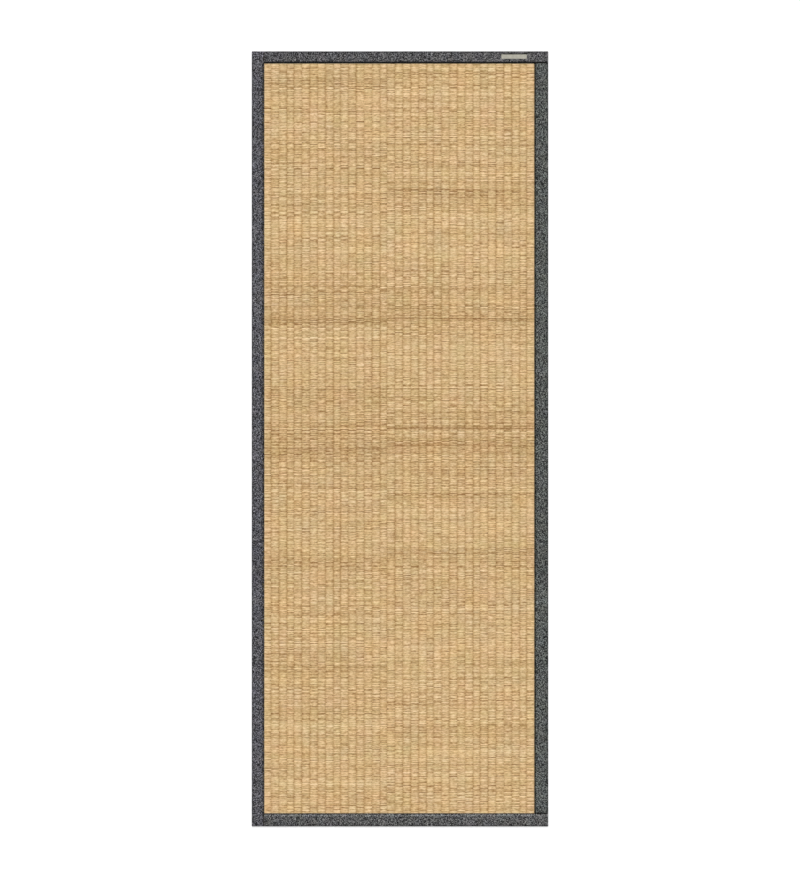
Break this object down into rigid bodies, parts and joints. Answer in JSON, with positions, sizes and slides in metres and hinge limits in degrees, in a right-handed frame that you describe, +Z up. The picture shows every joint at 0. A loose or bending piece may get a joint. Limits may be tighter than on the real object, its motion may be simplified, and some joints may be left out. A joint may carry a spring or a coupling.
{
  "type": "tatami mat",
  "caption": "Flat rectangular rush mat woven in lengthwise ribs, bound on all four edges with folded cloth tape, with a small blank label on one end.",
  "frame": {"origin": "middle of the mat, on the floor that it lies on", "axes": "+X across the width, with the label near the +X +Y corner; +Y along the length, towards the labelled end; +Z up, out of the upper face"},
  "size_m": [0.7, 1.83, 0.0057],
  "materials": {
    "rush": "dried rush, straw coloured, woven in ribs, low sheen",
    "tape": "dark grey melange plain weave, matt",
    "label": "pale grey woven tab, matt"
  },
  "bodies": {
    "root": {"rush_panel": "rush", "binding_left": "tape", "binding_top": "tape", "binding_right": "tape", "binding_bottom": "tape", "label": "label"}
  },
  "joints": []
}
